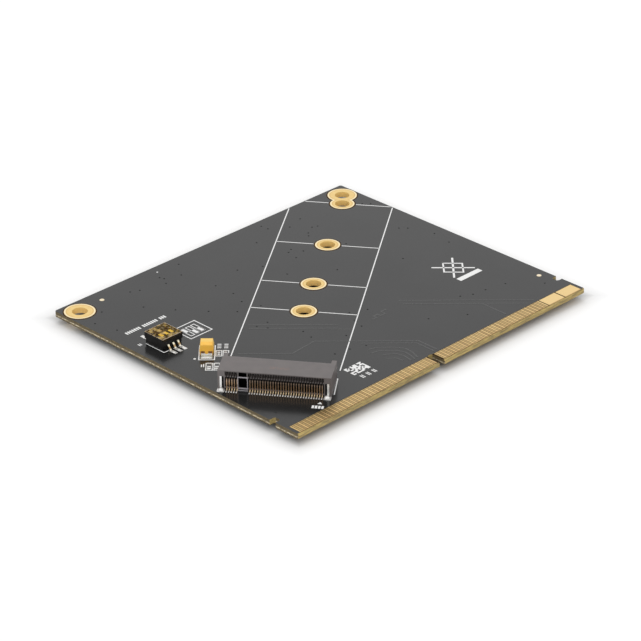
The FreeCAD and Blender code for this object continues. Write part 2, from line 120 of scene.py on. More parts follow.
# ---- procedural materials --------------------------------------------------
class Paint:
    """One node-based material. Texture space is the object's own, in millimetres."""

    def __init__(self, name):
        self.material = bpy.data.materials.new(name)
        self.material.use_nodes = True
        self.nodes = self.material.node_tree.nodes
        self.nodes.clear()
        self.output = self.nodes.new("ShaderNodeOutputMaterial")
        self.shader = self.nodes.new("ShaderNodeBsdfPrincipled")
        self.join(self.shader.outputs[0], self.output.inputs["Surface"])
        coordinates = self.nodes.new("ShaderNodeTexCoord")
        self.normal = coordinates.outputs["Normal"]
        scaled = self.nodes.new("ShaderNodeVectorMath")
        scaled.operation = "SCALE"
        scaled.inputs["Scale"].default_value = 1 / MM
        self.join(coordinates.outputs["Object"], scaled.inputs[0])
        self.place = scaled.outputs[0]

    def join(self, start, end):
        self.material.node_tree.links.new(start, end)

    def feed(self, socket, value):
        """Links a socket, or sets a plain number or colour."""
        if isinstance(value, bpy.types.NodeSocket):
            self.join(value, socket)
        elif isinstance(value, tuple) and len(value) == 3 and socket.type == "RGBA":
            socket.default_value = (*value, 1)
        else:
            socket.default_value = value

    def set(self, **values):
        """Sets sockets of the main shader by their names, with _ for a space."""
        for name, value in values.items():
            self.feed(self.shader.inputs[name.replace("_", " ").title()
                                         .replace("Ior", "IOR")], value)
        return self

    def sum(self, operation, first, second=0.0, clamp=False):
        """One arithmetic step."""
        node = self.nodes.new("ShaderNodeMath")
        node.operation = operation
        node.use_clamp = clamp
        self.feed(node.inputs[0], first)
        self.feed(node.inputs[1], second)
        return node.outputs[0]

    def parts(self, vector):
        """The three numbers of a vector."""
        node = self.nodes.new("ShaderNodeSeparateXYZ")
        self.join(vector, node.inputs[0])
        return node.outputs

    def stretched(self, factors):
        """The texture space, scaled along each axis."""
        node = self.nodes.new("ShaderNodeVectorMath")
        node.operation = "MULTIPLY"
        self.join(self.place, node.inputs[0])
        node.inputs[1].default_value = factors
        return node.outputs[0]

    def noise(self, per_mm, detail=2.0, roughness=0.5, space=None):
        """Fractal noise from 0 to 1, with per_mm features in a millimetre."""
        node = self.nodes.new("ShaderNodeTexNoise")
        self.join(space or self.place, node.inputs["Vector"])
        node.inputs["Scale"].default_value = per_mm
        node.inputs["Detail"].default_value = detail
        node.inputs["Roughness"].default_value = roughness
        return node.outputs[0]

    def spread(self, value, low, high, start=0.0, end=1.0):
        """Maps a number from low..high to start..end, held at both ends."""
        node = self.nodes.new("ShaderNodeMapRange")
        self.feed(node.inputs["Value"], value)
        node.inputs["From Min"].default_value = low
        node.inputs["From Max"].default_value = high
        node.inputs["To Min"].default_value = start
        node.inputs["To Max"].default_value = end
        return node.outputs[0]

    def blend(self, share, first, second):
        """A colour between two colours."""
        node = self.nodes.new("ShaderNodeMix")
        node.data_type = "RGBA"
        self.feed(node.inputs["Factor"], share)
        self.feed(node.inputs[6], first)
        self.feed(node.inputs[7], second)
        return node.outputs[2]

    def choose(self, share, first, second):
        """A number between two numbers."""
        node = self.nodes.new("ShaderNodeMix")
        self.feed(node.inputs["Factor"], share)
        self.feed(node.inputs[2], first)
        self.feed(node.inputs[3], second)
        return node.outputs[0]

    def relief(self, height, depth_mm, edge_mm=0.0):
        """Bump from a 0 to 1 height, over edges softened by a small radius."""
        node = self.nodes.new("ShaderNodeBump")
        node.inputs["Strength"].default_value = 1.0
        node.inputs["Distance"].default_value = depth_mm * MM
        self.join(height, node.inputs["Height"])
        if edge_mm:
            soft = self.nodes.new("ShaderNodeBevel")
            soft.samples = 6
            soft.inputs["Radius"].default_value = edge_mm * MM
            self.join(soft.outputs[0], node.inputs["Normal"])
        self.join(node.outputs[0], self.shader.inputs["Normal"])
        return self


def metal(name, colour, dark, roughness, grain=3.0, edge_mm=0.02, depth_mm=0.003, sheen=1.0):
    """A plated metal with slight tarnish, uneven gloss and softened edges."""
    paint = Paint(name)
    stain = paint.noise(grain * 0.4, 3)
    fine = paint.noise(grain * 4, 2)
    paint.set(base_color=paint.blend(paint.spread(stain, 0.35, 0.7), colour, dark), metallic=sheen,
              roughness=paint.spread(fine, 0.3, 0.7, roughness * 0.8, roughness * 1.25))
    return paint.relief(fine, depth_mm, edge_mm).material


def moulded(name, colour, pale, roughness, grain=6.0, edge_mm=0.04, depth_mm=0.006, gloss=0.5):
    """A moulded plastic: fine matt grain, faint flow marks and soft edges."""
    paint = Paint(name)
    flow = paint.noise(0.5, 2, space=paint.stretched((1.0, 1.0, 2.5)))
    fine = paint.noise(grain, 3, 0.6)
    paint.set(base_color=paint.blend(paint.spread(flow, 0.3, 0.75), colour, pale),
              roughness=paint.spread(fine, 0.3, 0.7, roughness * 0.88, roughness * 1.12),
              specular_ior_level=gloss)
    return paint.relief(fine, depth_mm, edge_mm).material


MASK_GREY = (0.019, 0.019, 0.019)
MASK_DARK = (0.015, 0.015, 0.015)
LAMINATE = (0.20, 0.15, 0.07)
LAMINATE_DARK = (0.060, 0.045, 0.022)
# The painted highlight colour of the line along the cut edges.
LAMINATE_HIGHLIGHT = (0.92, 0.79, 0.56)
BEVEL_LAMINATE = (0.52, 0.39, 0.14)
GOLD = (0.90, 0.66, 0.27)
GOLD_DARK = (0.80, 0.54, 0.20)
# The painted highlight colour round the rings' outer edges.
GOLD_RIM_HIGHLIGHT = (0.98, 0.84, 0.54)
BARREL = (1.0, 0.70, 0.26)
BARE_GAP = (0.030, 0.014, 0.004)


def ring_distance(paint):
    """How far a point lies outside the nearest copper ring, in millimetres."""
    flat = paint.nodes.new("ShaderNodeVectorMath")
    flat.operation = "MULTIPLY"
    paint.join(paint.place, flat.inputs[0])
    flat.inputs[1].default_value = (1, 1, 0)
    nearest = None
    for centre, radius in RINGS:
        reach = paint.nodes.new("ShaderNodeVectorMath")
        reach.operation = "DISTANCE"
        paint.join(flat.outputs[0], reach.inputs[0])
        reach.inputs[1].default_value = (centre.x, centre.y, 0)
        outside = paint.sum("SUBTRACT", reach.outputs["Value"], radius)
        nearest = outside if nearest is None else paint.sum("MINIMUM", nearest, outside)
    return nearest


def board_material():
    """Grey solder mask on the faces, gold at the holes, woven laminate on the cut edges, with
    painted highlights along the edges and round the rings.
    """
    paint = Paint("board")
    height = paint.parts(paint.place)[2]
    upright = paint.sum("ABSOLUTE", paint.parts(paint.normal)[2])
    is_face = paint.sum("GREATER_THAN", upright, 0.9)
    outside = ring_distance(paint)
    is_gold = paint.sum("LESS_THAN", outside, 0.02)
    above_recess = paint.sum("GREATER_THAN", height, BOARD_TOP - 0.02)
    below_recess = paint.sum("LESS_THAN", height, 0.02)
    is_mask = paint.sum("MULTIPLY", is_face, paint.sum("MAXIMUM", above_recess, below_recess))

    cloud = paint.noise(0.08, 3)
    peel = paint.noise(1.6, 3, 0.55)
    mask = paint.blend(paint.spread(cloud, 0.35, 0.7), MASK_GREY, MASK_DARK)

    fibre = paint.noise(1.0, 3, 0.6, paint.stretched((1.1, 1.1, 9.0)))
    highlight_speckle = paint.noise(1.0, 2, 0.5, paint.stretched((2.6, 2.6, 5.0)))
    laminate = paint.blend(paint.spread(fibre, 0.35, 0.68), LAMINATE_DARK, LAMINATE)
    # Painted highlight: a pale speckled line along the cut edges, at a height of 0.42 mm.
    highlight_offset = paint.sum("ABSOLUTE", paint.sum("SUBTRACT", height, 0.42))
    sheen = paint.sum("MULTIPLY", paint.spread(highlight_offset, 0.05, 0.20, 1.0, 0.0),
                      paint.spread(highlight_speckle, 0.42, 0.66, 0.10, 1.0))
    laminate = paint.blend(sheen, laminate, LAMINATE_HIGHLIGHT)
    lengthwise = paint.noise(1.0, 3, 0.6, paint.stretched((0.5, 0.5, 5.0)))
    bevel = paint.blend(paint.spread(lengthwise, 0.35, 0.7), BEVEL_LAMINATE, LAMINATE)
    is_bevel = paint.sum("LESS_THAN", paint.parts(paint.normal)[1], -0.5)
    gap = paint.blend(is_face, paint.blend(is_bevel, laminate, bevel), BARE_GAP)

    wear = paint.noise(1.2, 3)
    gold = paint.blend(paint.spread(wear, 0.3, 1.0), GOLD, GOLD_DARK)
    # A darker circle 0.5 mm inside each ring's outer edge.
    inner_dark_circle = paint.spread(paint.sum("ABSOLUTE", paint.sum("ADD", outside, 0.50)), 0.05, 0.16,
                          0.5, 0.0)
    gold = paint.blend(inner_dark_circle, gold, (0.66, 0.42, 0.16))
    # Painted highlight: a pale band along the outer edge of each ring.
    gold = paint.blend(paint.spread(outside, -0.38, -0.26), gold, GOLD_RIM_HIGHLIGHT)
    gold = paint.blend(is_face, BARREL, gold)
    colour = paint.blend(is_gold, paint.blend(is_mask, gap, mask), gold)
    matt = paint.choose(is_mask, 0.7, paint.spread(peel, 0.3, 0.7, 0.18, 0.22))
    unmasked = paint.sum("MAXIMUM", is_gold, paint.sum("SUBTRACT", 1.0, is_mask))
    paint.set(base_color=colour, metallic=paint.sum("MULTIPLY", is_face, unmasked),
              specular_ior_level=0.42, roughness=paint.choose(is_gold, matt, 0.30))
    return paint.relief(peel, 0.0012, 0.03).material


def gold_material():
    """Hard gold on the fingers, faintly brushed along them."""
    paint = Paint("edge_gold")
    brushed = paint.noise(1.0, 3, 0.6, paint.stretched((9.0, 0.7, 2.0)))
    x, y, _ = paint.parts(paint.place)
    count = paint.sum("DIVIDE", paint.sum("SUBTRACT", x, FINGER_START), FINGER_PITCH)
    count = paint.sum("FLOOR", paint.sum("ADD", count, 0.15))
    is_finger = paint.sum("LESS_THAN", x, LAST_FINGER)
    every_other = paint.sum("MULTIPLY", paint.sum("MODULO", count, 2.0), 0.40)
    chance = paint.nodes.new("ShaderNodeTexWhiteNoise")
    chance.noise_dimensions = "1D"
    paint.join(count, chance.inputs["W"])
    tone = paint.sum("ADD", every_other, paint.sum("MULTIPLY", chance.outputs["Value"], 0.30))
    tone = paint.sum("MULTIPLY", tone, is_finger)
    tip = paint.spread(y, FINGER_TIP, FINGER_TIP + 0.30, 0.75, 0.0)
    colour = paint.blend(tone, (0.86, 0.63, 0.29), (0.36, 0.21, 0.08))
    colour = paint.blend(tip, colour, (0.30, 0.16, 0.05))
    paint.set(base_color=colour, metallic=1.0,
              roughness=paint.spread(brushed, 0.3, 0.7, 0.26, 0.40))
    return paint.relief(brushed, 0.003, 0.015).material


def leg_material():
    """Slot contacts: tinned feet and gilt legs, with painted shade that darkens them higher up and
    turns them black inside the body.
    """
    paint = Paint("slot_legs")
    height = paint.parts(paint.place)[2]
    grain = paint.noise(5.0, 3)
    above = paint.sum("SUBTRACT", height, BOARD_TOP)
    colour = paint.blend(paint.spread(above, 0.24, 0.42), (0.82, 0.72, 0.56), (0.62, 0.41, 0.25))
    # Painted shade: darker above 1.6 mm over the board, near-black and less metallic above 2.1 mm.
    colour = paint.blend(paint.spread(above, 1.6, 2.0), colour, (0.50, 0.36, 0.26))
    colour = paint.blend(paint.spread(above, 2.1, 2.5), colour, (0.018, 0.014, 0.012))
    paint.set(base_color=colour, metallic=paint.spread(above, 2.1, 2.5, 1.0, 0.3),
              specular_ior_level=0.2, roughness=paint.spread(grain, 0.3, 0.7, 0.28, 0.40))
    return paint.relief(grain, 0.003, 0.02).material


def lead_material():
    """Switch leads: bright tin on the feet, thinner gilt between, and a painted highlight on the
    knees.
    """
    paint = Paint("lead_tin")
    height = paint.sum("SUBTRACT", paint.parts(paint.place)[2], BOARD_TOP)
    grain = paint.noise(5.0, 3)
    foot = paint.blend(paint.spread(height, 0.20, 0.36), (1.0, 0.96, 0.84), (0.52, 0.34, 0.15))
    # Painted highlight: the knees turn bright above 0.62 mm over the board.
    colour = paint.blend(paint.spread(height, 0.62, 0.80), foot, (1.0, 0.92, 0.70))
    paint.set(base_color=colour, metallic=0.55,
              roughness=paint.spread(grain, 0.3, 0.7, 0.18, 0.28))
    return paint.relief(grain, 0.003, 0.02).material


def terminal_material():
    """A tinned tab with a painted brown reflection of the epoxy where it meets the body."""
    paint = Paint("capacitor_tab")
    height = paint.parts(paint.place)[2]
    grain = paint.noise(4.0, 3)
    above = paint.sum("ADD", paint.sum("SUBTRACT", height, BOARD_TOP),
                      paint.sum("MULTIPLY", grain, 0.15))
    colour = paint.blend(paint.spread(above, 0.30, 0.50), (0.52, 0.52, 0.40), (1.0, 0.98, 0.94))
    # Painted reflection of the epoxy: brown above 0.82 mm over the board.
    colour = paint.blend(paint.spread(above, 0.82, 0.90), colour, (0.26, 0.11, 0.06))
    paint.set(base_color=colour, metallic=0.35, roughness=paint.spread(grain, 0.3, 0.7, 0.24, 0.4))
    return paint.relief(grain, 0.004, 0.03).material


def slot_material():
    """Grey-brown moulded plastic, with painted shade that turns it black and metallic inside the
    slot's comb, grooves and bay.
    """
    paint = Paint("slot_plastic")
    x, y, height = paint.parts(paint.place)
    x = paint.sum("SUBTRACT", x, MODULE_ORIGIN.x)
    y = paint.sum("SUBTRACT", y, MODULE_ORIGIN.y)
    u = paint.sum("ADD", paint.sum("MULTIPLY", x, math.cos(MODULE_ANGLE)),
                  paint.sum("MULTIPLY", y, math.sin(MODULE_ANGLE)))
    v = paint.sum("SUBTRACT", paint.sum("MULTIPLY", y, math.cos(MODULE_ANGLE)),
                  paint.sum("MULTIPLY", x, math.sin(MODULE_ANGLE)))
    # Painted shade: inside the comb, from its back wall to the mouth and below the top, the
    # plastic turns black and metallic.
    past_comb = paint.sum("GREATER_THAN", height, BOARD_TOP + 2.95)
    from_bay = paint.sum("ABSOLUTE", paint.sum("SUBTRACT", v, BAY_CENTRE))
    in_bay = paint.sum("LESS_THAN", from_bay, 1.05)
    shallow = paint.sum("MULTIPLY", past_comb, paint.sum("SUBTRACT", 1.0, in_bay))
    start = paint.choose(shallow, -3.75, -2.98)
    painted_shade = paint.sum("MULTIPLY", paint.sum("GREATER_THAN", u, start),
                       paint.spread(u, 0.6, 1.4, 1.0, 0.0))
    painted_shade = paint.sum("MULTIPLY", painted_shade, paint.sum("LESS_THAN", height, SLOT_TOP - 0.1))
    painted_shade = paint.sum("MULTIPLY", painted_shade,
                       paint.sum("LESS_THAN", paint.sum("ABSOLUTE", v), COMB_HALF_WIDTH))
    flow = paint.noise(0.5, 2, space=paint.stretched((1.0, 1.0, 2.5)))
    fine = paint.noise(6.0, 3, 0.6)
    body = paint.blend(paint.spread(flow, 0.3, 0.75), (0.108, 0.093, 0.091), (0.130, 0.112, 0.108))
    speckle = paint.sum("MULTIPLY", paint.spread(paint.noise(2.6, 1), 0.42, 0.56),
                        paint.spread(paint.sum("ABSOLUTE", paint.sum("ADD", u, 1.4)), 0.35, 0.5,
                                     1.0, 0.0))
    speckle = paint.sum("MULTIPLY", speckle,
                        paint.spread(paint.sum("ABSOLUTE", paint.sum("ADD", v, 0.6)), 1.7, 2.0,
                                     0.6, 0.0))
    body = paint.blend(speckle, body, (0.19, 0.115, 0.09))
    paint.set(base_color=paint.blend(painted_shade, body, (0.003, 0.0028, 0.0028)), metallic=painted_shade,
              roughness=paint.spread(fine, 0.3, 0.7, 0.40, 0.50), specular_ior_level=0.8)
    return paint.relief(fine, 0.006, 0.04).material


def film_material():
    """Clear amber film: tinted light through it, a soft gloss on it, and painted glints."""
    paint = Paint("amber_film")
    ripple_and_glints = paint.noise(1.0, 1)
    # Painted glints: bright amber patches in the tint, following the same noise as the ripple.
    tint = paint.blend(paint.spread(ripple_and_glints, 0.42, 0.62), (0.34, 0.15, 0.02), (1.0, 0.66, 0.17))
    x, y, _ = paint.parts(paint.place)
    half = (SWITCH_HIGH - SWITCH_LOW) / 2
    reach_x = paint.sum("SUBTRACT", half.x,
                        paint.sum("ABSOLUTE", paint.sum("SUBTRACT", x, SWITCH_CENTRE.x)))
    reach_y = paint.sum("SUBTRACT", half.y,
                        paint.sum("ABSOLUTE", paint.sum("SUBTRACT", y, SWITCH_CENTRE.y)))
    rim = paint.spread(paint.sum("MINIMUM", reach_x, reach_y), 0.06, 0.12, 1.0, 0.0)
    is_top = paint.sum("GREATER_THAN", paint.sum("ABSOLUTE", paint.parts(paint.normal)[2]), 0.5)
    tint = paint.blend(paint.sum("MULTIPLY", rim, is_top), tint, (0.72, 0.55, 0.36))
    paint.set(base_color=paint.blend(is_top, (0.035, 0.022, 0.010), tint), roughness=0.14,
              coat_weight=0.6, coat_roughness=0.08)
    paint.relief(ripple_and_glints, 0.006, 0.02)
    through = paint.nodes.new("ShaderNodeBsdfTransparent")
    through.inputs[0].default_value = (1.0, 0.93, 0.66, 1)
    both = paint.nodes.new("ShaderNodeMixShader")
    body = paint.spread(ripple_and_glints, 0.44, 0.62, 0.10, 0.42)
    paint.feed(both.inputs[0], paint.choose(is_top, 0.9, paint.choose(rim, body, 0.75)))
    paint.join(through.outputs[0], both.inputs[1])
    paint.join(paint.shader.outputs[0], both.inputs[2])
    paint.join(both.outputs[0], paint.output.inputs["Surface"])
    return paint.material


def epoxy_material():
    """Moulded orange-yellow epoxy with a paler polarity end and a matt skin."""
    paint = Paint("capacitor_epoxy")
    grain = paint.noise(7.0, 3, 0.6)
    flow = paint.noise(0.8, 2)
    body = paint.blend(paint.spread(flow, 0.3, 0.7), (1.0, 0.58, 0.075), (0.96, 0.50, 0.05))
    x, y, _ = paint.parts(paint.place)
    along = paint.sum("ADD", paint.sum("MULTIPLY", paint.sum("SUBTRACT", x, CAPACITOR_CENTRE.x),
                                       math.cos(GRID_ANGLE)),
                      paint.sum("MULTIPLY", paint.sum("SUBTRACT", y, CAPACITOR_CENTRE.y),
                                math.sin(GRID_ANGLE)))
    paint.set(base_color=paint.blend(paint.spread(along, 0.0, 0.12), body, (0.96, 0.63, 0.15)),
              roughness=paint.spread(grain, 0.3, 0.7, 0.42, 0.55))
    return paint.relief(grain, 0.005, 0.05).material


def ink_material():
    """White legend ink, a little thin and rough."""
    paint = Paint("legend_ink")
    grain = paint.noise(5.0, 3, 0.6)
    paint.set(base_color=paint.blend(paint.spread(grain, 0.35, 0.75), (0.94, 0.94, 0.93),
                                     (0.84, 0.84, 0.83)),
              roughness=0.55)
    return paint.relief(grain, 0.004).material


def track_material():
    """Solder mask where it runs over a conductor."""
    paint = Paint("mask_over_copper")
    peel = paint.noise(1.6, 3, 0.55)
    paint.set(base_color=paint.blend(paint.spread(peel, 0.3, 0.7), (0.050, 0.050, 0.050),
                                     (0.040, 0.040, 0.040)),
              specular_ior_level=0.40, roughness=paint.spread(peel, 0.3, 0.7, 0.22, 0.30))
    return paint.relief(peel, 0.003, 0.01).material


MATERIALS = {
    "board": board_material(),
    "gold": gold_material(),
    "slot_plastic": slot_material(),
    "slot_contact": metal("slot_contact", (0.94, 0.80, 0.56), (0.80, 0.60, 0.36), 0.25),
    "tin": metal("tin", (0.92, 0.91, 0.89), (0.80, 0.79, 0.77), 0.30, sheen=0.5),
    "lead_tin": lead_material(),
    "switch_plastic": moulded("switch_plastic", (0.010, 0.009, 0.009), (0.018, 0.017, 0.016), 0.36,
                              gloss=0.2),
    "slider_plastic": moulded("slider_plastic", (1.0, 0.94, 0.50), (1.0, 0.90, 0.42), 0.38),
    "seal_tape": film_material(),
    "capacitor_epoxy": epoxy_material(),
    "chip_ceramic": moulded("chip_ceramic", (0.20, 0.165, 0.14), (0.27, 0.22, 0.18), 0.55),
    "resistor_ceramic": moulded("resistor_film", (0.05, 0.05, 0.05), (0.08, 0.08, 0.08), 0.40),
}
INK = ink_material()
TRACK = track_material()
VIA = moulded("tented_via", (0.012, 0.012, 0.012), (0.020, 0.020, 0.020), 0.8, gloss=0.1)
# Dark matt bands round the rings: the mask's clearance, darkened as a painted shadow line.
CLEARANCE_SHADOW = moulded("mask_clearance_shadow", (0.060, 0.026, 0.009), (0.080, 0.038, 0.014), 0.8, gloss=0.0)
# Painted highlight: pale plastic for the strips round the slot's bay.
BAY_HIGHLIGHT_PLASTIC = moulded("bay_edge_highlight", (0.36, 0.34, 0.36), (0.42, 0.40, 0.42), 0.5)
# Painted shadow: a near-black matt sheet.
SHADOW_BLACK = moulded("painted_shade", (0.003, 0.003, 0.003), (0.004, 0.004, 0.004), 0.9, gloss=0.0)
PALE_GOLD = metal("flash_gold", (0.96, 0.84, 0.62), (0.90, 0.76, 0.52), 0.35)
SOLDER = metal("solder", (0.95, 0.94, 0.92), (0.80, 0.79, 0.77), 0.20, grain=2.0, sheen=0.55)
NODE_MATERIALS = {
    "slot_upper_contacts": leg_material(),
    "capacitor_near_terminal": terminal_material(),
}

for entry in frame["record"]["subparts"]:
    node = NODES[entry["node"]]
    dressed = NODE_MATERIALS.get(entry["node"], MATERIALS[entry["material_slot"]])
    for slot in node.material_slots:
        slot.material = dressed
    if not node.material_slots:
        node.data.materials.append(dressed)


# ---- mesh builders ---------------------------------------------------------
class Relief:
    """A mesh of thin closed prisms and mounds that lie on the board."""

    def __init__(self, place=on_board, base=BOARD_TOP):
        self.place = place
        self.base = base
        self.points = []
        self.faces = []

    def point(self, x, y, z):
        px, py = self.place(x, y)
        self.points.append((px * MM, py * MM, (self.base + z) * MM))
        return len(self.points) - 1

    def prism(self, outline, height, top_outline=None):
        """A closed block on an outline, with an optional smaller top."""
        top_outline = top_outline or outline
        low = [self.point(x, y, 0.0) for x, y in outline]
        high = [self.point(x, y, height) for x, y in top_outline]
        count = len(low)
        self.faces.append(low[::-1])
        self.faces.append(high)
        for i in range(count):
            k = (i + 1) % count
            self.faces.append((low[i], low[k], high[k], high[i]))

    def box(self, x0, x1, y0, y1, height):
        self.prism([(x0, y0), (x1, y0), (x1, y1), (x0, y1)], height)

    def block(self, x0, x1, y0, y1, z0, z1):
        """A box that starts above the board."""
        corners = [(x0, y0), (x1, y0), (x1, y1), (x0, y1)]
        low = [self.point(x, y, z0) for x, y in corners]
        high = [self.point(x, y, z1) for x, y in corners]
        self.faces += [low[::-1], high]
        self.faces += [(low[i], low[(i + 1) % 4], high[(i + 1) % 4], high[i]) for i in range(4)]

    def disc(self, x, y, radius, height, sides=20):
        turn = [2 * math.pi * i / sides for i in range(sides)]
        self.prism([(x + radius * math.cos(t), y + radius * math.sin(t)) for t in turn], height)

    def stroke(self, line, width, height, slope=0.0):
        """A line of even width; slope makes its top narrower than its foot."""
        foot = offset_sides(line, width / 2 + slope)
        top = offset_sides(line, width / 2)
        for i in range(len(line) - 1):
            ring = (i, i + 1)
            foot_outline = [foot[1][ring[0]], foot[1][ring[1]], foot[0][ring[1]], foot[0][ring[0]]]
            top_outline = [top[1][ring[0]], top[1][ring[1]], top[0][ring[1]], top[0][ring[0]]]
            self.prism(foot_outline, height, top_outline)

    def frame(self, x0, x1, y0, y1, width, height):
        """The four sides of a rectangle."""
        inset = width / 2
        corners = [(x0 + inset, y0 + inset), (x1 - inset, y0 + inset),
                   (x1 - inset, y1 - inset), (x0 + inset, y1 - inset)]
        for i in range(4):
            (ax, ay), (bx, by) = corners[i], corners[(i + 1) % 4]
            if ay == by:
                step = math.copysign(inset, bx - ax)
                self.stroke([(ax - step, ay), (bx + step, by)], width, height)
            else:
                step = math.copysign(inset, by - ay)
                self.stroke([(ax, ay + step), (bx, by - step)], width, height)

    def ring(self, x, y, inner, outer, height, sides=32):
        """A flat washer."""
        loops = []
        for radius, z in ((inner, 0.0), (outer, 0.0), (outer, height), (inner, height)):
            loops.append([self.point(x + radius * math.cos(2 * math.pi * i / sides),
                                     y + radius * math.sin(2 * math.pi * i / sides), z)
                          for i in range(sides)])
        for side in range(4):
            near, far = loops[side], loops[(side + 1) % 4]
            for i in range(sides):
                k = (i + 1) % sides
                self.faces.append((near[i], near[k], far[k], far[i]))

    def mound(self, x, y, long, wide, height, turn=0.0, power=2.6, rings=5, sides=16):
        """A rounded drop of solder, flat underneath."""
        loops = []
        for ring in range(rings):
            t = ring / rings * math.pi / 2
            share, z = math.cos(t), height * math.sin(t)
            loop = []
            for i in range(sides):
                angle = 2 * math.pi * i / sides
                cx = math.copysign(abs(math.cos(angle)) ** (2 / power), math.cos(angle))
                sy = math.copysign(abs(math.sin(angle)) ** (2 / power), math.sin(angle))
                px, py = share * long / 2 * cx, share * wide / 2 * sy
                loop.append(self.point(x + px * math.cos(turn) - py * math.sin(turn),
                                       y + px * math.sin(turn) + py * math.cos(turn), z))
            loops.append(loop)
        crown = self.point(x, y, height)
        self.faces.append(loops[0][::-1])
        for near, far in zip(loops, loops[1:]):
            for i in range(sides):
                k = (i + 1) % sides
                self.faces.append((near[i], near[k], far[k], far[i]))
        for i in range(sides):
            self.faces.append((loops[-1][i], loops[-1][(i + 1) % sides], crown))

    def build(self, name, material, smooth=False):
        """Makes the mesh object and lets it ride on the card."""
        mesh = bpy.data.meshes.new(name)
        mesh.from_pydata(self.points, [], self.faces)
        mesh.validate()
        mesh.materials.append(material)
        if smooth:
            mesh.polygons.foreach_set("use_smooth", [True] * len(mesh.polygons))
        mesh.update()
        piece = bpy.data.objects.new(name, mesh)
        bpy.context.scene.collection.objects.link(piece)
        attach(piece, BODY)
        return piece


def offset_sides(line, reach):
    """The two sides of a line, mitred at its bends."""
    left, right = [], []
    last = len(line) - 1
    for i, (x, y) in enumerate(line):
        before, after = line[max(i - 1, 0)], line[min(i + 1, last)]
        inward = Vector((x - before[0], y - before[1])) if i else None
        outward = Vector((after[0] - x, after[1] - y)) if i < last else None
        inward = (inward or outward).normalized()
        outward = (outward or inward).normalized()
        along = (inward + outward).normalized()
        across = Vector((-along.y, along.x)) * (reach / max(0.3, along.dot(inward)))
        left.append((x + across.x, y + across.y))
        right.append((x - across.x, y - across.y))
    return left, right


# ---- printed legend --------------------------------------------------------
INK_HEIGHT = 0.015
LINE_WIDTH = 0.23
FINE_WIDTH = 0.19
MODULE_HALF = 11.0
EDGE_MARGIN = 0.25
BAR_WIDTH = 0.22
BAR_STEP = 0.42
TICK_PITCH = 0.56
TICK_WIDTH = 0.36


def bar_pair(relief, x, y, first, second, along_x=False):
    """Two plain upright bars of given lengths, or two level ones if along_x."""
    for step, reach in ((0.0, first), (BAR_STEP, second)):
        if along_x:
            relief.box(x, x + reach, y + step, y + step + BAR_WIDTH, INK_HEIGHT)
        else:
            relief.box(x + step, x + step + BAR_WIDTH, y, y + reach, INK_HEIGHT)


def inside_board(u, v):
    """Whether a module point lies on the printable part of the board."""
    x, y = on_module(u, v)
    return (BOARD_LOW.x + EDGE_MARGIN < x < BOARD_HIGH.x - EDGE_MARGIN
            and BOARD_LOW.y + EDGE_MARGIN < y < BOARD_HIGH.y - EDGE_MARGIN)


def reach_inside(start, end):
    """The last point towards end, from start, that is still printable."""
    low, high = 0.0, 1.0
    for _ in range(24):
        middle = (low + high) / 2
        point = [a + (b - a) * middle for a, b in zip(start, end)]
        if inside_board(*point):
            low = middle
        else:
            high = middle
    return tuple(a + (b - a) * low for a, b in zip(start, end))


def module_outline():
    """The printed outline of the module places, broken round the rings."""
    ink = Relief(on_module)
    gap = STANDOFF_RING_RADIUS + 0.35
    longest = max(STANDOFFS)
    left_end = reach_inside((40.0, MODULE_HALF), (longest, MODULE_HALF))
    right_end = reach_inside((40.0, -MODULE_HALF), (longest, -MODULE_HALF))
    ink.stroke([(3.4, MODULE_HALF), left_end], LINE_WIDTH, INK_HEIGHT)
    ink.stroke([(6.9, -MODULE_HALF), right_end], LINE_WIDTH, INK_HEIGHT)
    ink.stroke([(-2.6, -MODULE_HALF - 0.35), (3.75, -MODULE_HALF - 0.05)], LINE_WIDTH, INK_HEIGHT)
    for u in STANDOFFS:
        for side in (-1, 1):
            end = reach_inside((u, side * gap), (u, side * MODULE_HALF))
            ink.stroke([(u, side * gap), end], LINE_WIDTH, INK_HEIGHT)
    ink.prism([(-5.7, -9.2), (-6.5, -8.75), (-6.5, -9.65)], INK_HEIGHT)
    for i in range(4):
        ink.box(-8.25, -7.2, -8.3 - 0.62 * i, -7.85 - 0.62 * i, INK_HEIGHT)
    return ink.build("module_outline", INK)


def switch_legend():
    """The switch's corner outline, its position diagram and plain marks."""
    ink = Relief(on_switch)
    ink.stroke([(-2.78, 2.1), (-2.78, -3.15), (-1.45, -3.15)], LINE_WIDTH, INK_HEIGHT)
    ink.stroke([(-1.35, 4.15), (-1.35, 5.0)], LINE_WIDTH, INK_HEIGHT)
    ink.stroke([(-1.7, 4.15), (-1.0, 4.15)], FINE_WIDTH, INK_HEIGHT)
    bar_pair(ink, -4.3, 2.15, 0.85, 0.85)
    ink.frame(4.6, 10.5, -2.95, 2.55, LINE_WIDTH, INK_HEIGHT)
    for i in range(3):
        x0 = 5.5 + 1.4 * i
        middle = -0.3
        ink.frame(x0, x0 + 1.1, -2.05, 1.45, FINE_WIDTH, INK_HEIGHT)
        y0, y1 = (middle, 1.4) if i == 0 else (-2.0, middle)
        ink.box(x0 + 0.05, x0 + 1.05, y0, y1, INK_HEIGHT)
    return ink.build("switch_legend", INK)


def tick_row():
    """A plain row of ticks beside the switch."""
    ink = Relief(on_switch)
    for i in range(19):
        if i % 8 != 7:
            x = -2.9 + TICK_PITCH * i
            ink.box(x, x + TICK_WIDTH, 7.45, 8.40, INK_HEIGHT)
    return ink.build("switch_tick_row", INK)


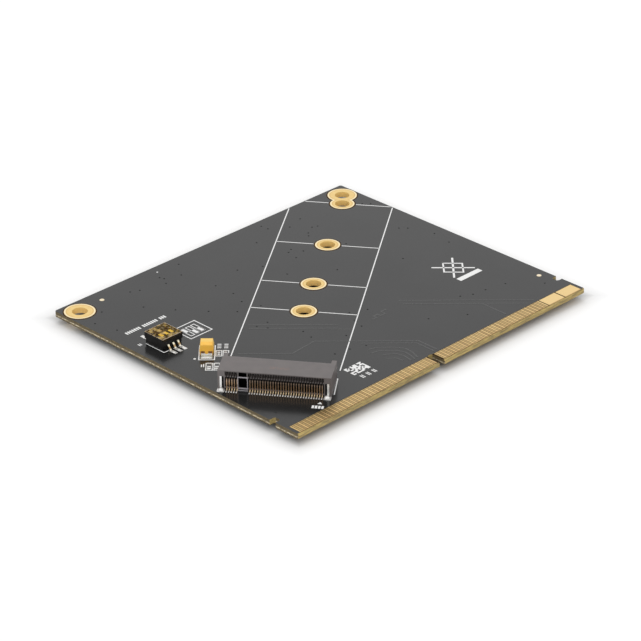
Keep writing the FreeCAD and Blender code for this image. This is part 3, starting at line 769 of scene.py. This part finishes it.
def grid_legend():
    """Outlines and plain marks round the capacitor and the chips."""
    ink = Relief(on_grid)
    a0, b0 = GRID_HOME
    ink.stroke([(3.6 - a0, 1.3 - b0), (-2.3 - a0, 1.3 - b0), (-2.3 - a0, -1.75 - b0),
                (3.6 - a0, -1.75 - b0)], LINE_WIDTH, INK_HEIGHT)
    ink.disc(-1.9 - a0, 2.1 - b0, 0.27, INK_HEIGHT)
    for low, high in ((-3.2, -1.9), (-4.55, -3.3)):
        ink.frame(-0.95 - a0, 1.5 - a0, low - b0, high - b0, FINE_WIDTH, INK_HEIGHT)
        middle = (low + high) / 2 - b0
        for row in (2.4, 3.5):
            bar_pair(ink, row - a0, middle - 0.40, 0.80, 0.80)
    for low, high in ((-1.6, -0.1), (-3.0, -1.7)):
        ink.frame(-6.6 - a0, -3.6 - a0, low - b0, high - b0, FINE_WIDTH, INK_HEIGHT)
    bar_pair(ink, -5.2 - a0, 0.15 - b0, 1.2, 1.0, along_x=True)
    return ink.build("grid_legend", INK)


def check_block():
    """A small printed block of plain squares with ticks under it."""
    ink = Relief(on_board)
    shuffled = random.Random(11)
    size, columns, rows, share = 0.38, 12, 8, 0.62
    left, low = -17.7, -26.7
    for row in range(rows):
        for column in range(columns):
            if shuffled.random() < share:
                x, y = left + column * size, low + row * size
                ink.box(x, x + size, y, y + size, INK_HEIGHT)
    for x in (-17.2, -15.6, -14.0):
        bar_pair(ink, x, -28.7, 1.2, 1.2)
    return ink.build("check_block", INK)


def sorting_mark():
    """A plain diamond and cross over a bar."""
    ink = Relief(on_board)
    cross_width, diamond_width = 0.42, 0.34
    ink.box(25.8, 32.3, -14.7, -13.4, INK_HEIGHT)
    ink.stroke([(25.9, -6.3), (32.2, -12.7)], cross_width, INK_HEIGHT)
    ink.stroke([(25.9, -12.7), (32.2, -6.3)], cross_width, INK_HEIGHT)
    ink.stroke([(29.05, -6.6), (31.8, -9.5), (29.05, -12.4), (26.3, -9.5), (29.05, -6.6)],
               diamond_width, INK_HEIGHT)
    return ink.build("sorting_mark", INK)


def ring_clearance_shadows():
    """Dark matt bands where the solder mask stops short of each ring: the bare clearance, darkened
    as a painted shadow line.
    """
    painted_strips = Relief(on_board)
    inset, reach, height, sides = 0.06, 0.24, 0.02, 48
    for centre, radius in RINGS:
        crossing = [(other, size) for other, size in RINGS
                    if 0 < (other - centre).length < radius + size]
        if not crossing:
            painted_strips.ring(centre.x, centre.y, radius - inset, radius + reach, height, sides)
            continue
        other, size = crossing[0]
        between = other - centre
        apart = between.length
        half = math.acos((radius ** 2 + apart ** 2 - size ** 2) / (2 * radius * apart))
        first = math.atan2(between.y, between.x) + half
        turns = [first + (2 * math.pi - 2 * half) * i / sides for i in range(sides + 1)]
        outer = [(centre.x + (radius + reach) * math.cos(t),
                  centre.y + (radius + reach) * math.sin(t)) for t in turns]
        inner = [(centre.x + (radius - inset) * math.cos(t),
                  centre.y + (radius - inset) * math.sin(t)) for t in turns]
        painted_strips.prism(outer + inner[::-1], height)
    return painted_strips.build("ring_clearance_shadows", CLEARANCE_SHADOW)


def loose_dots():
    """The two sighting dots in gold and one small printed dot."""
    gold = Relief(on_board)
    gold.disc(-31.2, 31.7, 0.50, 0.03, 28)
    gold.disc(38.8, -24.5, 0.50, 0.03, 28)
    gold.build("fiducial_dots", PALE_GOLD)
    ink = Relief(on_board)
    ink.disc(-15.1, 32.8, 0.18, INK_HEIGHT)
    ink.build("printed_dot", INK)


# ---- conductors under the mask ---------------------------------------------
TRACK_HEIGHT = 0.03
TRACK_WIDTH = 0.2
VIA_COUNT = 70
VIA_RADIUS = 0.19
VIA_HEIGHT = 0.008
TRACKS = (
    [(10.6, -11.5), (30.0, -30.9)],
    [(10.2, -13.2), (21.4, -24.4), (21.4, -30.9)],
    [(22.2, -25.2), (27.9, -30.9)],
    [(-27.6, -4.4), (-20.0, -12.0), (-13.5, -11.5), (1.0, -26.0), (1.0, -31.0)],
    [(-7.6, -18.7), (0.1, -26.4), (0.1, -31.0)],
    [(-8.6, -21.4), (-6.7, -22.1), (-4.1, -24.6), (-3.1, -26.4), (-3.2, -28.3), (-4.0, -30.4)],
    [(-9.2, -22.9), (-7.4, -23.3), (-5.0, -25.5), (-4.2, -27.2), (-4.4, -29.0), (-4.9, -30.6)],
    [(-8.0, -25.0), (-5.9, -26.4), (-5.4, -28.2), (-5.8, -30.4)],
    [(-8.6, -26.5), (-7.2, -27.6), (-6.9, -29.4)],
    [(-17.9, 2.7), (-5.2, -10.0)],
    [(-18.9, 1.5), (-6.4, -11.0)],
    [(-7.8, -10.2), (-5.0, -13.0)],
    [(1.0, -13.4), (2.2, -13.4), (2.2, -12.6), (3.4, -12.6), (3.4, -13.4), (4.6, -13.4),
     (4.6, -12.3), (6.2, -12.3)],
)


def tracks():
    """Faint raised conductors under the mask."""
    copper = Relief(on_board)
    for line in TRACKS:
        copper.stroke(line, TRACK_WIDTH, TRACK_HEIGHT, slope=0.1)
    return copper.build("mask_tracks", TRACK)


def vias():
    """Small tented holes, scattered where the planes are joined."""
    holes = Relief(on_board)
    scattered = random.Random(5)
    clear = [(centre.x, centre.y, radius + 1.2) for centre, radius in RINGS]
    clear += [(SWITCH_CENTRE.x, SWITCH_CENTRE.y, 6.5),
              (CAPACITOR_CENTRE.x, CAPACITOR_CENTRE.y, 8.0)]
    clear += [(*on_module(0, v), 6.0) for v in (-8, 0, 8)]
    made = 0
    while made < VIA_COUNT:
        x, y = scattered.uniform(-39, 39), scattered.uniform(-29, 33)
        if all(math.hypot(x - cx, y - cy) > reach for cx, cy, reach in clear):
            holes.disc(x, y, VIA_RADIUS, VIA_HEIGHT, 12)
            made += 1
    return holes.build("tented_vias", VIA)


# ---- solder ----------------------------------------------------------------
PAD_HEIGHT = 0.02
REAR_FEET_U = -4.35
FRONT_FEET_U = 3.8
HOLD_DOWN_V = 10.3
SWITCH_PITCH = 1.27
SWITCH_FEET_Y = 4.0
SLOT_REAR_U = -3.86
CHIPS = ((0.2, -2.55, 0.5, 0.5), (0.2, -3.85, 0.5, 0.5),    # place, half length, width
         (-5.1, -0.85, 0.8, 0.8), (-5.1, -2.35, 0.8, 0.8))


def contact_feet(node):
    """Each contact's middle across the module, in one row."""
    corners = [vertex.co / MM for vertex in NODES[node].data.vertices]
    across = sorted({round(-(c.x - MODULE_ORIGIN.x) * math.sin(MODULE_ANGLE)
                           + (c.y - MODULE_ORIGIN.y) * math.cos(MODULE_ANGLE), 2)
                     for c in corners})
    return [(low + high) / 2 for low, high in zip(across[::2], across[1::2])]


def slot_solder():
    """Pads and solder at both rows of tails, and at the two hold-downs."""
    pads = Relief(on_module)
    joints = Relief(on_module)
    for node, u, step in (("slot_upper_contacts", REAR_FEET_U, -1),
                          ("slot_lower_contacts", FRONT_FEET_U, 1)):
        for v in contact_feet(node):
            pads.box(u - 0.42, u + 0.42, v - 0.13, v + 0.13, PAD_HEIGHT)
            joints.mound(u + 0.08 * step, v, 0.66, 0.26, 0.17, rings=3, sides=10)
    for side in (-1, 1):
        pads.box(-4.8, -3.4, side * HOLD_DOWN_V - 0.7, side * HOLD_DOWN_V + 0.7, PAD_HEIGHT)
        joints.mound(-4.2, side * 10.25, 1.1, 1.1, 0.62, power=2.0)
    pads.build("slot_pads", MATERIALS["tin"])
    return joints.build("slot_solder", SOLDER, smooth=True)


def bay_highlights():
    """Painted highlights: pale strips on the edges round the empty bay in the slot's rear; and
    painted shadow: black sheets beside the two hold-down posts.
    """
    rear = SLOT_REAR_U
    bay_low, bay_high = BAY_CENTRE - 1.0, BAY_CENTRE + 1.0
    painted_strips = Relief(on_module)
    # Painted highlights on the bay's bars and sides.
    for low, high in ((2.85, 3.1), (0.42, 0.68), (0.02, 0.2)):
        painted_strips.block(rear, rear + 0.12, bay_low, bay_high, low, high)
    for v in (bay_low, bay_high - 0.12):
        painted_strips.block(rear, rear + 0.12, v, v + 0.12, 0.7, 2.85)
    # Painted shadow: thin black sheets at the two posts.
    shade = Relief(on_module)
    for side in (-1, 1):
        v = side * 10.0
        shade.block(rear + 0.03, rear + 0.08, v - 0.17, v + 0.17, 0.1, 2.9)
    shade.build("post_shadow_sheets", SHADOW_BLACK)
    return painted_strips.build("bay_highlights", BAY_HIGHLIGHT_PLASTIC)


def switch_solder():
    """Pads and solder under the switch's six feet."""
    pads = Relief(on_switch)
    joints = Relief(on_switch)
    for i in (-1, 0, 1):
        for side in (-1, 1):
            x, y = SWITCH_PITCH * i, side * SWITCH_FEET_Y
            pads.box(x - 0.36, x + 0.36, y + side * 0.15 - 1.0, y + side * 0.15 + 1.0, PAD_HEIGHT)
            joints.mound(x, y + side * 0.05, 0.62, 1.25, 0.14)
    pads.build("switch_pads", MATERIALS["tin"])
    return joints.build("switch_solder", SOLDER, smooth=True)


def grid_solder():
    """Pads and solder at the capacitor's and the chips' ends."""
    a0, b0 = GRID_HOME
    pads = Relief(on_grid)
    joints = Relief(on_grid)
    for side in (-1, 1):
        pads.box(side * 1.75 - 0.75, side * 1.75 + 0.75, -1.15, 1.15, PAD_HEIGHT)
        joints.mound(side * 1.95, 0, 0.7, 2.0, 0.22)
    for place_a, place_b, half, wide in CHIPS:
        a, b = place_a - a0, place_b - b0
        for side in (-1, 1):
            pads.box(a + side * half - 0.28, a + side * half + 0.28, b - wide / 2 - 0.05,
                     b + wide / 2 + 0.05, PAD_HEIGHT)
            joints.mound(a + side * (half + 0.05), b, 0.42, wide, 0.2)
    nib = Relief(on_grid)
    near = min((vertex.co.x / MM - CAPACITOR_CENTRE.x) * math.cos(GRID_ANGLE)
               + (vertex.co.y / MM - CAPACITOR_CENTRE.y) * math.sin(GRID_ANGLE)
               for vertex in NODES["capacitor_near_terminal"].data.vertices
               if vertex.co.z / MM > BOARD_TOP + 0.8)
    nib.block(near - 0.04, near + 0.08, -0.36, 0.36, 0.86, 1.24)
    nib.build("capacitor_nib", MATERIALS["capacitor_epoxy"])
    pads.build("grid_pads", MATERIALS["tin"])
    return joints.build("grid_solder", SOLDER, smooth=True)


for make in (module_outline, switch_legend, tick_row, grid_legend, check_block, sorting_mark,
             loose_dots, ring_clearance_shadows, tracks, vias, slot_solder, bay_highlights, switch_solder,
             grid_solder):
    make()


# ---- studio ----------------------------------------------------------------
FLOOR_HEIGHT = -1.4
FLOOR_HALF = 1.5                  # metres
FLOOR_TONE = 0.95
UNDER_CARD_SHADOW_TONE = 0.30            # painted shadow: the floor's darker tone where the card covers it
SHADOW_TONE_RANGE = (-2.6, 1.7)          # millimetres outside the card, between the two tones
FLOOR_GLOW = 0.12
# The glow fades out near the card over these millimetres outside it, which also paints the shadow
# darker.
GLOW_RANGE = (1.3, 4.8)
FIELD_SHIFT = 1.3                 # the centre of both the painted shadow and the glow fade, towards the far corner
AMBIENT = 0.80
LENS = 160.545
CAMERA_PLACE = (-0.361375, -0.363003, 0.271184)
CAMERA_AIM = (0.621445, 0.624755, -0.472745)
CAMERA_ROLL = 0.382               # degrees


def shown_ray(nodes, links):
    """1 for rays from the camera, from a gloss or through glass, else 0."""
    ray = nodes.new("ShaderNodeLightPath")
    shown = ray.outputs["Is Camera Ray"]
    for kind in ("Is Glossy Ray", "Is Transmission Ray"):
        either = nodes.new("ShaderNodeMath")
        either.operation = "MAXIMUM"
        links.new(shown, either.inputs[0])
        links.new(ray.outputs[kind], either.inputs[1])
        shown = either.outputs[0]
    return shown


def add_floor():
    """A pale floor, white away from the card, with a painted shadow that deepens the real one: a
    darker tone and no glow under and round the card.
    """
    half, low = FLOOR_HALF, FLOOR_HEIGHT * MM
    mesh = bpy.data.meshes.new("floor")
    mesh.from_pydata([(-half, -half, low), (half, -half, low), (half, half, low),
                      (-half, half, low)], [], [(0, 1, 2, 3)])
    floor = bpy.data.objects.new("floor", mesh)
    bpy.context.scene.collection.objects.link(floor)
    material = bpy.data.materials.new("floor")
    material.use_nodes = True
    nodes, links = material.node_tree.nodes, material.node_tree.links
    nodes.clear()
    output = nodes.new("ShaderNodeOutputMaterial")
    matt = nodes.new("ShaderNodeBsdfDiffuse")
    glow = nodes.new("ShaderNodeEmission")
    both = nodes.new("ShaderNodeAddShader")

    card = (BOARD_LOW + BOARD_HIGH) * MM / 2
    place = nodes.new("ShaderNodeNewGeometry")
    away = nodes.new("ShaderNodeVectorMath")
    away.operation = "SUBTRACT"
    away.inputs[1].default_value = (card.x + FIELD_SHIFT * MM, card.y + FIELD_SHIFT * MM, 0)
    size = nodes.new("ShaderNodeVectorMath")
    size.operation = "ABSOLUTE"
    past = nodes.new("ShaderNodeVectorMath")
    past.operation = "SUBTRACT"
    past.inputs[1].default_value = (*((BOARD_HIGH - BOARD_LOW) * MM / 2).xy, 0)
    sides = nodes.new("ShaderNodeSeparateXYZ")
    outside = nodes.new("ShaderNodeMath")
    outside.operation = "MAXIMUM"
    links.new(place.outputs["Position"], away.inputs[0])
    links.new(away.outputs[0], size.inputs[0])
    links.new(size.outputs[0], past.inputs[0])
    links.new(past.outputs[0], sides.inputs[0])
    links.new(sides.outputs["X"], outside.inputs[0])
    links.new(sides.outputs["Y"], outside.inputs[1])

    # Painted shadow: the floor's tone and glow both fall off towards the card.
    ranges = []
    for (low, high), (first, last) in ((SHADOW_TONE_RANGE, (UNDER_CARD_SHADOW_TONE, FLOOR_TONE)),
                                       (GLOW_RANGE, (0.0, FLOOR_GLOW))):
        spread = nodes.new("ShaderNodeMapRange")
        spread.inputs["From Min"].default_value = low * MM
        spread.inputs["From Max"].default_value = high * MM
        spread.inputs["To Min"].default_value = first
        spread.inputs["To Max"].default_value = last
        links.new(outside.outputs[0], spread.inputs["Value"])
        ranges.append(spread.outputs[0])
    seen = nodes.new("ShaderNodeMath")
    seen.operation = "MULTIPLY"
    links.new(shown_ray(nodes, links), seen.inputs[0])
    links.new(ranges[1], seen.inputs[1])
    links.new(ranges[0], matt.inputs["Color"])
    links.new(seen.outputs[0], glow.inputs["Strength"])
    links.new(matt.outputs[0], both.inputs[0])
    links.new(glow.outputs[0], both.inputs[1])
    links.new(both.outputs[0], output.inputs["Surface"])
    mesh.materials.append(material)


def add_world():
    """An even pale surround, white to the camera and to reflections."""
    world = bpy.data.worlds.new("studio")
    bpy.context.scene.world = world
    world.use_nodes = True
    nodes, links = world.node_tree.nodes, world.node_tree.links
    nodes.clear()
    output = nodes.new("ShaderNodeOutputWorld")
    background = nodes.new("ShaderNodeBackground")
    background.inputs["Color"].default_value = (1, 1, 1, 1)
    strength = nodes.new("ShaderNodeMapRange")
    strength.inputs["To Min"].default_value = AMBIENT
    links.new(shown_ray(nodes, links), strength.inputs["Value"])
    links.new(strength.outputs[0], background.inputs["Strength"])
    links.new(background.outputs[0], output.inputs["Surface"])


def add_softbox(name, place, size, share):
    """A soft lamp that faces the card and gives its share of a plain light level there."""
    reach = Vector(place)
    facing = reach.z / reach.length
    light = bpy.data.lights.new(name, "AREA")
    light.shape = "RECTANGLE"
    light.size, light.size_y = size
    light.energy = share * math.pi ** 2 * reach.length_squared / facing
    lamp = bpy.data.objects.new(name, light)
    lamp.location = place
    lamp.rotation_euler = (-reach).to_track_quat("-Z", "Y").to_euler()
    lamp.visible_glossy = False
    bpy.context.scene.collection.objects.link(lamp)


def add_camera():
    """A long lens that looks along the card's diagonal from the left near corner."""
    camera_data = bpy.data.cameras.new("camera")
    camera = bpy.data.objects.new("camera", camera_data)
    camera_data.sensor_width = 36.0
    camera_data.lens = LENS
    camera_data.clip_start = 0.01
    camera_data.clip_end = 10.0
    camera.location = CAMERA_PLACE
    forward = Vector(CAMERA_AIM)
    roll = Matrix.Rotation(math.radians(CAMERA_ROLL), 4, forward)
    aim = forward.to_track_quat("-Z", "Y").to_matrix().to_4x4()
    camera.rotation_euler = (roll @ aim).to_euler()
    bpy.context.scene.collection.objects.link(camera)
    bpy.context.scene.camera = camera


add_floor()
add_world()
add_softbox("back_box", (0.25, 0.25, 0.90), (0.8, 0.7), 0.12)
add_softbox("front_box", (-0.45, -0.55, 0.60), (0.6, 0.6), 0.08)
add_camera()
bpy.context.scene.view_settings.view_transform = "Standard"
